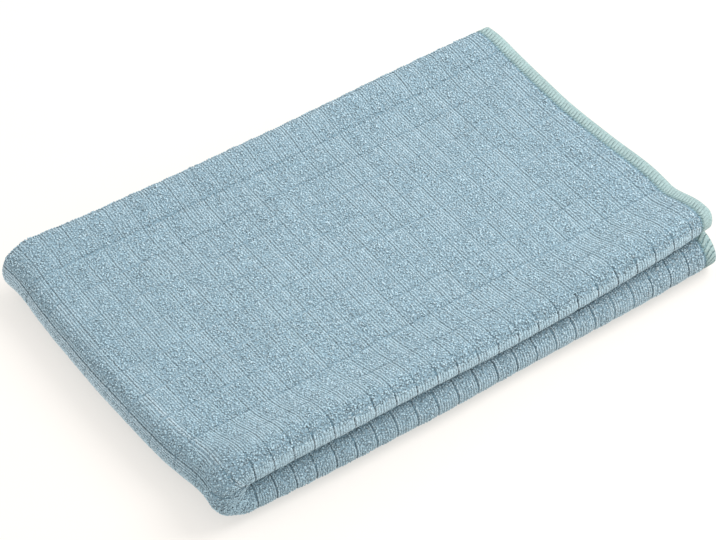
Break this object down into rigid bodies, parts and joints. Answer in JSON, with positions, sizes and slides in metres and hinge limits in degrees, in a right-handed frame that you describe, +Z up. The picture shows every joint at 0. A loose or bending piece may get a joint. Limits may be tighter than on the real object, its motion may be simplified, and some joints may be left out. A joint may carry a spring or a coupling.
{
  "type": "folded microfibre cloth",
  "caption": "Soft microfibre cleaning cloth with a grid of fine grooves and overcast edges, folded in thirds and then in half into a flat pad.",
  "frame": {"origin": "on the surface it lies on, under the middle of the folded cloth's box", "axes": "+X along the front edge from the half fold to the hems, +Y towards the back fold, +Z up"},
  "size_m": [0.2022, 0.1368, 0.0247],
  "materials": {
    "microfibre": "light blue-grey looped microfibre, matt and soft",
    "edge_thread": "pale mint overcast thread, slightly shiny"
  },
  "bodies": {
    "root": {"cloth": "microfibre"}
  },
  "joints": []
}
